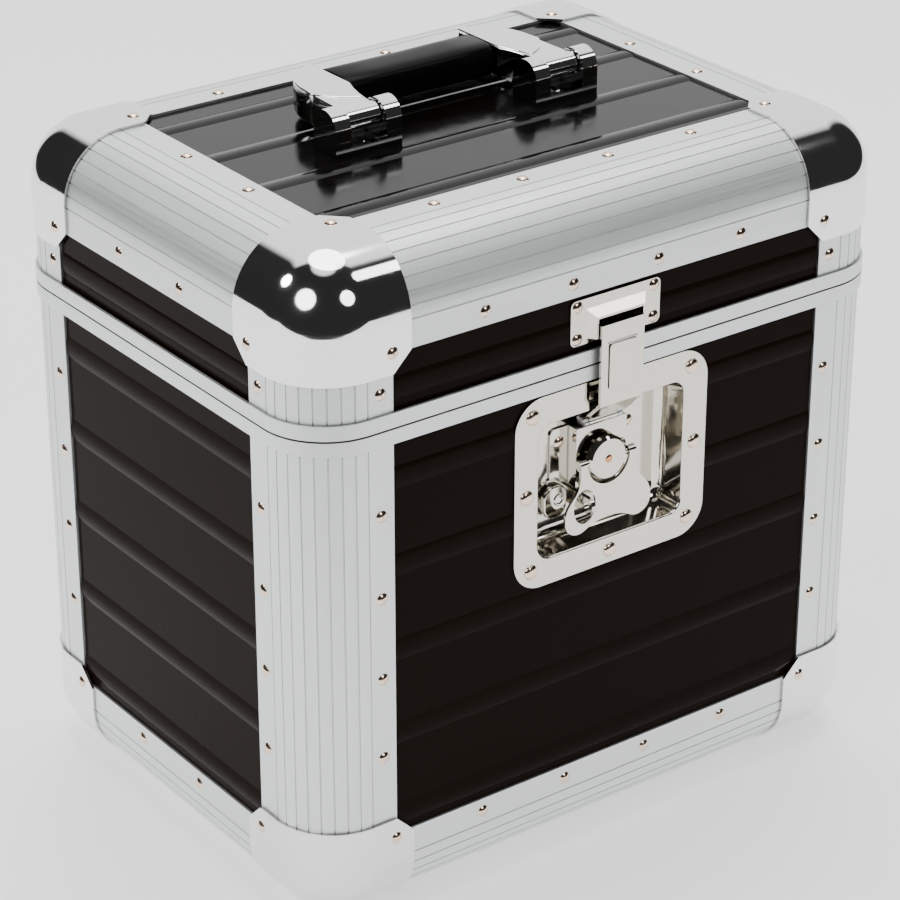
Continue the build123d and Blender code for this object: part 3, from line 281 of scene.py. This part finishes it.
def paint_seam_shade(tree, shader, colour, reach):
    """Painted shade: a colour that deepens where two pieces meet, where the seam is shut in from the light."""
    sky = add_node(tree, "ShaderNodeAmbientOcclusion", {"Distance": reach}, samples=6)
    share = add_node(tree, "ShaderNodeMapRange", {
        "Value": sky.outputs["AO"], "From Min": OPEN_SKY[0], "From Max": OPEN_SKY[1],
        "To Min": SEAM_SHADE_DEPTH, "To Max": 0.0})
    mix = add_node(tree, "ShaderNodeMix", {
        "Factor": share.outputs["Result"], 6: linear(colour), 7: linear(SEAM_SHADE_COLOUR)},
        data_type="RGBA")
    tree.links.new(mix.outputs[2], shader.inputs["Base Color"])


# ---------------------------------------------------------------- materials
def drawn_aluminium(name, colour, spacing, axis):
    """Extruded, satin anodised aluminium: soft white sheen, faint die lines along the section."""
    material, tree, shader = new_material(name, Metallic=1.0)
    stretch = [1.0, 1.0, 1.0]
    stretch[axis] = DIE_LINE_STRETCH
    lines = noise(tree, coordinates(tree, spacing, stretch), detail=3.0)
    vary_gloss(tree, shader, lines, low=0.46, high=0.56)
    emboss(tree, shader, lines, strength=0.15, height=0.04 * MM)
    # painted shade in the seams, darkened from ambient occlusion
    paint_seam_shade(tree, shader, colour, reach=3 * MM)
    return material


def pressed_laminate(name, colour, gloss):
    """High pressure laminate on plywood: near black, with a faint ripple from the press plate."""
    material, tree, shader = new_material(
        name, Base_Color=linear(colour), IOR=1.5, Specular_IOR_Level=gloss)
    ripple = noise(tree, coordinates(tree, spacing=9 * MM), detail=3.0, roughness=0.6)
    vary_gloss(tree, shader, ripple, low=0.10, high=0.17)
    emboss(tree, shader, ripple, strength=0.25, height=0.06 * MM)
    return material


def plated(name, colour):
    """Bright plating on metal: a mirror whose gloss and flatness wander a little."""
    material, tree, shader = new_material(name, Metallic=1.0)
    low, high, wave, height = PLATINGS[name]
    cloud = noise(tree, coordinates(tree, wave), detail=2.0)
    vary_gloss(tree, shader, cloud, low, high)
    emboss(tree, shader, cloud, strength=0.3, height=height)
    # painted shade in the seams, darkened from ambient occlusion
    paint_seam_shade(tree, shader, colour, reach=2 * MM)
    return material


def moulded_grip(name, colour):
    """Moulded black nylon, polished by the hand, with a fine spark-eroded grain."""
    material, tree, shader = new_material(
        name, Base_Color=linear(colour), Roughness=0.26, IOR=1.53, Specular_IOR_Level=0.04)
    grain = noise(tree, coordinates(tree, spacing=0.7 * MM), detail=2.0)
    emboss(tree, shader, grain, strength=0.12, height=0.02 * MM)
    return material


def closed_cell_foam(name, colour):
    """Sliced closed-cell foam: dull, with small open pores on the cut face."""
    material, tree, shader = new_material(name, Base_Color=linear(colour), Roughness=0.95)
    pores = add_node(tree, "ShaderNodeTexVoronoi", {
        "Vector": coordinates(tree, spacing=1.2 * MM), "Scale": 1.0})
    emboss(tree, shader, pores.outputs["Distance"], strength=0.6, height=0.3 * MM)
    return material


def lit_acrylic(name, colour, glow):
    """Matt opal acrylic of a light table, lit a little from below: shadows on it stay pale."""
    return new_material(name, Base_Color=linear(colour), Roughness=0.9, IOR=1.49,
                        Emission_Color=linear(colour), Emission_Strength=glow)[0]


def dress(piece, material):
    """One finish for a whole piece."""
    piece.data.materials.clear()
    piece.data.materials.append(material)


def repaint(node, material):
    """A finish for a CAD node, on its own material slots."""
    for slot in NODES[node].material_slots:
        slot.material = material


def node_finish(node):
    """The material on a CAD node."""
    return NODES[node].material_slots[0].material


def node_axis(node):
    """The axis that a frame section was drawn along."""
    if "_post_" in node:
        return 2
    return 0 if node.endswith(("_front", "_back")) else 1


# ---------------------------------------------------------------- shape helpers
def link_object(name, mesh):
    """A mesh as an object in the scene."""
    piece = bpy.data.objects.new(name, mesh)
    bpy.context.scene.collection.objects.link(piece)
    return piece


def closed_piece(name, build):
    """An object from a finished bmesh, with its faces turned outward."""
    bmesh.ops.recalc_face_normals(build, faces=build.faces)
    mesh = bpy.data.meshes.new(name)
    build.to_mesh(mesh)
    build.free()
    return link_object(name, mesh)


def joined(name, pieces):
    """One piece from several closed ones, with their modifiers applied."""
    build = bmesh.new()
    for piece in pieces:
        depsgraph = bpy.context.evaluated_depsgraph_get()
        build.from_mesh(piece.evaluated_get(depsgraph).to_mesh())
        bpy.data.objects.remove(piece)
    mesh = bpy.data.meshes.new(name)
    build.to_mesh(mesh)
    build.free()
    return link_object(name, mesh)


def rounded_edges(piece, width, segments=3):
    """Melts flat facets together and rounds the sharp edges that are left."""
    melt = piece.modifiers.new("melt flats", "DECIMATE")
    melt.decimate_type = "DISSOLVE"
    melt.angle_limit = MELT_ANGLE
    bevel = piece.modifiers.new("round edges", "BEVEL")
    bevel.width = width
    bevel.segments = segments
    bevel.limit_method = "ANGLE"
    bevel.angle_limit = SHARP_ANGLE
    bevel.harden_normals = False


def smooth(piece, angle=35.0):
    """Smooth shading that keeps edges sharper than an angle in degrees."""
    for polygon in piece.data.polygons:
        polygon.use_smooth = True
    piece.data.set_sharp_from_angle(angle=math.radians(angle))


def skin(build, rings):
    """Faces between rings of points, where a ring of one point closes to a tip."""
    steps = max(len(ring) for ring in rings)
    for lower, upper in zip(rings, rings[1:]):
        for i in range(steps):
            j = (i + 1) % steps
            corners = (lower[i % len(lower)], lower[j % len(lower)],
                       upper[j % len(upper)], upper[i % len(upper)])
            unique = list(dict.fromkeys(corners))
            if len(unique) > 2:
                build.faces.new(unique)
    for ring in (rings[0], rings[-1]):
        if len(ring) > 1:
            build.faces.new(ring)


def solid_of_outline(name, points, low, high):
    """A closed prism from a plan outline between two heights."""
    build = bmesh.new()
    skin(build, [[build.verts.new((x, y, z)) for x, y in points] for z in (low, high)])
    return closed_piece(name, build)


def slab(name, points, front, back):
    """A closed prism from an (x, z) outline between two depths."""
    piece = solid_of_outline(name, points, -back, -front)
    piece.data.transform(Matrix(((1, 0, 0, 0), (0, 0, -1, 0), (0, 1, 0, 0), (0, 0, 0, 1))))
    return piece


def turned(name, profile, axis_point, axis, steps):
    """A closed turned piece: profile is (radius, height) pairs along the axis from its point."""
    build = bmesh.new()
    stand = Vector(axis).to_track_quat("Z", "Y").to_matrix().to_4x4()
    stand.translation = Vector(axis_point)
    rings = []
    for radius, height in profile:
        angles = [2 * math.pi * i / steps for i in range(steps if radius > 0 else 1)]
        rings.append([build.verts.new(stand @ Vector((
            radius * math.cos(a), radius * math.sin(a), height))) for a in angles])
    skin(build, rings)
    return closed_piece(name, build)


def arc(centre, radius, start, end, steps=24):
    """Points of an arc between two angles in degrees."""
    angles = [math.radians(start + (end - start) * i / steps) for i in range(steps + 1)]
    return [(centre[0] + radius * math.cos(a), centre[1] + radius * math.sin(a)) for a in angles]


def rounded_outline(x, z, half_x, half_z, radius):
    """Counter-clockwise outline of a rounded rectangle."""
    points = []
    for sign_x, sign_z, start in ((1, 1, 0), (-1, 1, 90), (-1, -1, 180), (1, -1, 270)):
        centre = (x + sign_x * (half_x - radius), z + sign_z * (half_z - radius))
        points += arc(centre, radius, start, start + 90, steps=8)
    return points


def mirrored(points):
    """An outline turned over to the left side."""
    return [(-x, y) for x, y in reversed(points)]


def scaled_profile(shares, radius, rise):
    """A rivet head's profile from shares of its radius and rise."""
    return [(radius * across, rise * up) for across, up in shares]


# ---------------------------------------------------------------- rims
def opened_rim(node, body, height, shift):
    """A rim whose closing face draws back at its outer edge, so the parting line is a shadow."""
    source = NODES[node]
    mesh = source.data.copy()
    mesh.transform(source.matrix_world)
    closing = [vert for vert in mesh.vertices if abs(vert.co.z - height) < TOUCH]
    plan = [vert.co.to_2d() for vert in closing]
    hull = [plan[i] for i in convex_hull_2d(plan)]
    sides = list(zip(hull, hull[1:] + hull[:1]))
    for vert, spot in zip(closing, plan):
        nearest = (intersect_point_line(spot, *side)[0].to_2d() for side in sides)
        if min((spot - point).length for point in nearest) < TOUCH:
            vert.co.z += shift
    piece = link_object(f"{node}_section", mesh)
    dress(piece, node_finish(node))
    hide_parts(node)
    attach(piece, body)


# ---------------------------------------------------------------- handle's shapes
def boss_rear():
    """The boss's rear outline, from its side round to the grip's collar."""
    rear = math.degrees(math.acos((BOSS_REAR_X - BOSS[0]) / BOSS_RADIUS))
    corner = arc(BOSS, BOSS_RADIUS, 0, rear)
    return corner + [(COLLAR_X, corner[-1][1]), (COLLAR_X, GRIP_FRONT - NECK_BACK)]


def arm_plan():
    """Plan outline of the right arm, counter-clockwise from the barrel's inner end."""
    pin_y = HANDLE_PIVOT.y
    return [(ARM_INNER, pin_y), (ARM_OUTER, pin_y), *boss_rear(),
            (ARM_INNER - BAR_DRAFT, GRIP_FRONT - NECK_FRONT), (ARM_INNER, pin_y + BARREL_BACK)]


def boss_plan():
    """Plan of the raised boss: the step across the arm, then the rear outline."""
    end = math.degrees(math.asin((STEP_END_Y - STEP_ARC[1]) / STEP_RADIUS))
    return [*arc(STEP_ARC, STEP_RADIUS, STEP_START, end, steps=20), *boss_rear(),
            (ARM_INNER - STEP_DRAFT, GRIP_FRONT - NECK_FRONT)]


def shape_underside(mesh, low):
    """Raises the bar's underside where it runs from the barrel to the boss."""
    build = bmesh.new()
    build.from_mesh(mesh)
    for cut in (GRIP_FRONT - RAMP_FRONT, GRIP_FRONT - RAMP_BACK):
        everything = build.verts[:] + build.edges[:] + build.faces[:]
        bmesh.ops.bisect_plane(build, geom=everything, plane_co=(0, cut, 0), plane_no=(0, 1, 0))
    for vert in build.verts:
        if vert.co.z < low + TOUCH and vert.co.y < GRIP_FRONT - RAMP_EDGE:
            vert.co.z += BAR_LIFT
    build.to_mesh(mesh)
    build.free()


def handle_arm(name, side):
    """Cast arm: bar, raised round boss and the barrel on the pin."""
    flip = (lambda points: points) if side > 0 else mirrored
    low, high = ARM_BOX[0][2], ARM_BOX[1][2]
    bar = solid_of_outline("bar", flip(arm_plan()), low, high - ARM_STEP)
    shape_underside(bar.data, low)
    rounded_edges(bar, BAR_ROUND, segments=4)
    boss = solid_of_outline("boss", flip(boss_plan()), low, high)
    rounded_edges(boss, BOSS_ROUND, segments=4)
    length = ARM_OUTER - ARM_INNER
    profile = [(BARREL_RADIUS - BARREL_LIP, 0), (BARREL_RADIUS, BARREL_LIP),
               (BARREL_RADIUS, length - BARREL_LIP), (BARREL_RADIUS - BARREL_LIP, length)]
    start = (min(side * ARM_INNER, side * ARM_OUTER), HANDLE_PIVOT.y, HANDLE_PIVOT.z)
    barrel = turned("barrel", profile, start, ALONG_PIN, steps=64)
    arm = joined(name, [bar, boss, barrel])
    smooth(arm, angle=40)
    return arm


def grip_section(inset):
    """Rounded cross-section of the grip, drawn in from its full size."""
    half_y = (GRIP_REAR - GRIP_FRONT) / 2 - inset
    half_z = (GRIP_HIGH - GRIP_LOW) / 2 - inset
    points = []
    for i in range(GRIP_STEPS):
        angle = 2 * math.pi * i / GRIP_STEPS
        c, s = math.cos(angle), math.sin(angle)
        points.append((half_y * math.copysign(abs(c) ** GRIP_SQUARENESS, c),
                       half_z * math.copysign(abs(s) ** GRIP_SQUARENESS, s)))
    return points


def handle_grip():
    """Moulded grip with softened ends and a shallow waist."""
    build = bmesh.new()
    y_mid, z_mid = (GRIP_FRONT + GRIP_REAR) / 2, (GRIP_LOW + GRIP_HIGH) / 2
    skin(build, [[build.verts.new((share * COLLAR_X, y_mid + y, z_mid + z))
                  for y, z in grip_section(inset * MM)] for share, inset in GRIP_STATIONS])
    piece = closed_piece("moulded_grip", build)
    smooth(piece, angle=50)
    return piece


def bracket_web(side_name):
    """The web that ties the two ears of a handle bracket at its rear."""
    low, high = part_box(f"handle_bracket_{side_name}")
    left = (low[0] + high[0] - EAR_GAP) / 2
    right = left + EAR_GAP
    front, rear = high[1] - WEB_THICK, high[1]
    return solid_of_outline(
        f"bracket_rear_web_{side_name}",
        [(left, front), (right, front), (right, rear), (left, rear)],
        low[2] + WEB_LOW, low[2] + WEB_HIGH)


# ---------------------------------------------------------------- studio's parts
def studio_room(context):
    """A room that is white behind and above the case, and dark where it's seen from."""
    world = bpy.data.worlds.new("studio_room")
    world.use_nodes = True
    tree = world.node_tree
    way = add_node(tree, "ShaderNodeTexCoord").outputs["Generated"]
    right = (math.cos(CAMERA_AZIMUTH), math.sin(CAMERA_AZIMUTH), 0)
    away = (-right[1], right[0], 0)

    def calculated(operation, *values):
        """The outcome of one sum."""
        return add_node(tree, "ShaderNodeMath", dict(enumerate(values)),
                        operation=operation).outputs[0]

    def reached(axis, start, end):
        """How far a direction has turned towards an axis, from 0 at one cosine to 1 at another."""
        along = add_node(tree, "ShaderNodeVectorMath", {0: way, 1: axis}, operation="DOT_PRODUCT")
        value = along.outputs["Value"]
        if axis is right:
            value = calculated("ABSOLUTE", value)
        return add_node(tree, "ShaderNodeMapRange", {
            "Value": value, "From Min": start, "From Max": end},
            interpolation_type="SMOOTHSTEP").outputs["Result"]

    inside = calculated("SUBTRACT", 1.0, reached(right, *BACKDROP_SIDE))
    backdrop = calculated("MULTIPLY", reached(away, *BACKDROP_BEHIND), inside)
    white = calculated("MAXIMUM", backdrop, reached((0, 0, 1), *CEILING))
    strength = add_node(tree, "ShaderNodeMapRange", {
        "Value": white, "To Min": ROOM_DARK, "To Max": ROOM_WHITE})
    background = tree.nodes["Background"]
    background.inputs["Color"].default_value = linear("#ffffff")
    tree.links.new(strength.outputs["Result"], background.inputs["Strength"])
    context.scene.world = world


def lamp(context, name, place, width, power):
    """A round soft lamp that looks at the case."""
    data = bpy.data.lights.new(name, "AREA")
    data.shape = "DISK"
    data.size = width
    data.energy = power
    piece = bpy.data.objects.new(name, data)
    piece.location = place
    aim = Vector(LAMP_TARGET) - Vector(place)
    piece.rotation_euler = aim.to_track_quat("-Z", "Y").to_euler()
    context.scene.collection.objects.link(piece)


def camera_from_view(context):
    """A camera at a measured place, azimuth and elevation."""
    right = Vector((math.cos(CAMERA_AZIMUTH), math.sin(CAMERA_AZIMUTH), 0))
    level = math.cos(CAMERA_ELEVATION)
    back = Vector((right.y * level, -right.x * level, math.sin(CAMERA_ELEVATION)))
    data = bpy.data.cameras.new("camera")
    data.lens = CAMERA_LENS
    data.sensor_width = CAMERA_SENSOR
    data.clip_end = CAMERA_FAR
    camera = bpy.data.objects.new("camera", data)
    camera.matrix_world = Matrix((right, back.cross(right), back)).transposed().to_4x4()
    camera.location = CAMERA_PLACE
    context.scene.collection.objects.link(camera)
    context.scene.camera = camera


# ---------------------------------------------------------------- operators
class CASE_OT_finish_frame(bpy.types.Operator):
    """Give every node of the frame its finish, and open the parting line"""

    bl_idname = "case.finish_frame"
    bl_label = "Finish Frame"

    def execute(self, context):
        look = context.scene.case_finish
        spacing = context.scene.case_sizes.draw_lines
        sections = [drawn_aluminium(f"anodised_aluminium_along_{letter}", look.aluminium,
                                    spacing, axis) for axis, letter in enumerate("xyz")]
        finishes = {
            "laminated_plywood": pressed_laminate(
                "satin_black_laminate", look.laminate, SATIN_GLOSS),
            "chromed_steel_corner": plated("chromed_pressed_steel", look.chrome),
            "nickel_plated_steel": plated("nickel_plated_pressed_steel", look.nickel),
            "nickel_rivet": plated("nickel_plated_rivet", look.rivet),
            "chromed_zinc": plated("chromed_die_cast_zinc", look.chrome),
            "zinc_plated_steel": plated("zinc_plated_steel", look.zinc),
            "moulded_grip": moulded_grip("moulded_black_nylon", look.grip),
            "foam": closed_cell_foam("closed_cell_foam", look.foam),
        }
        for part in frame["record"]["subparts"]:
            node, slot = part["node"], part["material_slot"]
            if slot == "anodised_aluminium":
                repaint(node, sections[node_axis(node)])
            else:
                repaint(node, finishes[slot])
        # the lid's top gets a lit copy of the laminate, with a darker base and a stronger reflection, as painted
        # light
        repaint("lid_panel_top", pressed_laminate(
            "lit_copy_black_laminate", look.laminate_top_lit_copy, TOP_PAINTED_REFLECTION_GLOSS))
        for node, width in ROUNDED_NODES.items():
            rounded_edges(NODES[node], width)
        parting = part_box("lid_rim")[0][2]
        opened_rim("lid_rim", "lid", parting, PARTING_SHIFT)
        opened_rim("base_rim", "case_base", parting - PARTING_GAP, -PARTING_SHIFT)
        return {"FINISHED"}


class CASE_OT_latch_details(bpy.types.Operator):
    """Add the copper rivet at the middle of the latch's rotor"""

    bl_idname = "case.latch_details"
    bl_label = "Latch Details"

    def execute(self, context):
        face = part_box("latch_rotor")[0][1]
        profile = scaled_profile(BUTTON, ROTOR_RIVET_R, ROTOR_RIVET_RISE)
        centre = (ROTOR_CENTRE.x, face, ROTOR_CENTRE.z)
        rivet = turned("rotor_centre_rivet", profile, centre, FORWARD, steps=24)
        dress(rivet, plated("copper_rivet", context.scene.case_finish.copper))
        smooth(rivet)
        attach(rivet, "rotor")
        return {"FINISHED"}


class CASE_OT_dish_rivet_heads(bpy.types.Operator):
    """Give the dish's rivets their wide heads"""

    bl_idname = "case.dish_rivet_heads"
    bl_label = "Dish Rivet Heads"

    def execute(self, context):
        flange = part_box("latch_dish")[0][1]
        profile = scaled_profile(DOME, WIDE_HEAD_R, WIDE_HEAD_RISE)
        places = [(x * MM, flange, z * MM) for x, z in DISH_RIVETS]
        heads = [turned(f"dish_rivet_head_{i}", profile, place, FORWARD, steps=28)
                 for i, place in enumerate(places)]
        head = joined("dish_rivet_heads", heads)
        dress(head, node_finish("latch_rivets"))
        smooth(head)
        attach(head, "case_base")
        return {"FINISHED"}


class CASE_OT_latch_pressings(bpy.types.Operator):
    """Add the hook's embossed pad and the raised eyelet of the padlock lug"""

    bl_idname = "case.latch_pressings"
    bl_label = "Latch Pressings"

    def execute(self, context):
        hook_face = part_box("latch_hook")[0][1]
        outline = rounded_outline(0, PAD_MIDDLE_Z, PAD_HALF_X, PAD_HALF_Z, PAD_CORNER)
        pad = slab("hook_embossed_pad", outline, hook_face - PAD_RISE, hook_face + PAD_ROOT)
        rounded_edges(pad, PAD_ROUND)
        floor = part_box("latch_bracket")[1][1]
        lug_face = floor - LUG_RISE
        outline = rounded_outline(LUG_X, LUG_Z, LUG_HALF_X, LUG_HALF_Z, LUG_CORNER)
        lug = slab("padlock_lug_pressing", outline, lug_face, floor - LUG_ROOT)
        rounded_edges(lug, LUG_ROUND)
        centre = (LUG_X + EYELET_OFF_X, lug_face, LUG_Z + EYELET_OFF_Z)
        eyelet = turned("padlock_lug_eyelet", EYELET, centre, FORWARD, steps=32)
        for piece, body in ((pad, "hook"), (lug, "case_base"), (eyelet, "case_base")):
            dress(piece, node_finish("latch_dish"))
            smooth(piece)
            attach(piece, body)
        return {"FINISHED"}


class CASE_OT_handle(bpy.types.Operator):
    """Cast arms, bracket webs and moulded grip of the folding handle"""

    bl_idname = "case.handle"
    bl_label = "Handle"

    def execute(self, context):
        look = context.scene.case_finish
        chrome = plated("chromed_handle_arm", look.chrome)
        for side, name in ((-1, "left"), (1, "right")):
            arm = handle_arm(f"cast_arm_{name}", side)
            dress(arm, chrome)
            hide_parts(f"handle_arm_{name}")
            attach(arm, "handle")
            web = bracket_web(name)
            dress(web, chrome)
            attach(web, "lid")
        grip = handle_grip()
        dress(grip, moulded_grip("moulded_black_grip", look.grip))
        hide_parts("handle_grip")
        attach(grip, "handle")
        return {"FINISHED"}


class CASE_OT_studio(bpy.types.Operator):
    """Set the floor, the room, the soft lamps and the camera"""

    bl_idname = "case.studio"
    bl_label = "Studio"

    def execute(self, context):
        look = context.scene.case_finish
        power = context.scene.case_sizes.lamp_power
        floor = solid_of_outline("studio_floor", FLOOR_OUTLINE, -FLOOR_THICK, 0)
        floor.rotation_euler.z = CAMERA_AZIMUTH
        dress(floor, lit_acrylic("opal_acrylic_table", look.floor, FLOOR_GLOW))
        studio_room(context)
        for name, place, width, share in LAMPS:
            lamp(context, name, place, width, power * share)
        camera_from_view(context)
        return {"FINISHED"}


class CASE_PT_panel(bpy.types.Panel):
    """Lists the steps and the settings of the case"""

    bl_label = "Record Carrying Case"
    bl_idname = "CASE_PT_panel"
    bl_space_type = "VIEW_3D"
    bl_region_type = "UI"
    bl_category = "Case"

    def draw(self, context):
        for operator in OPERATORS:
            self.layout.operator(operator.bl_idname)
        for group in (context.scene.case_finish, context.scene.case_sizes):
            for name in group.__annotations__:
                self.layout.prop(group, name)


OPERATORS = (CASE_OT_finish_frame, CASE_OT_latch_details, CASE_OT_dish_rivet_heads,
             CASE_OT_latch_pressings, CASE_OT_handle, CASE_OT_studio)
CLASSES = (CaseFinish, CaseSizes) + OPERATORS + (CASE_PT_panel,)


def register():
    """Add the classes and settings to Blender."""
    for item in CLASSES:
        bpy.utils.register_class(item)
    bpy.types.Scene.case_finish = bpy.props.PointerProperty(type=CaseFinish)
    bpy.types.Scene.case_sizes = bpy.props.PointerProperty(type=CaseSizes)


def unregister():
    """Take the settings and classes out of Blender."""
    del bpy.types.Scene.case_sizes
    del bpy.types.Scene.case_finish
    for item in reversed(CLASSES):
        bpy.utils.unregister_class(item)


def main():
    """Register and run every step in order."""
    register()
    bpy.ops.case.finish_frame()
    bpy.ops.case.latch_details()
    bpy.ops.case.dish_rivet_heads()
    bpy.ops.case.latch_pressings()
    bpy.ops.case.handle()
    bpy.ops.case.studio()


if __name__ == "__main__":
    main()
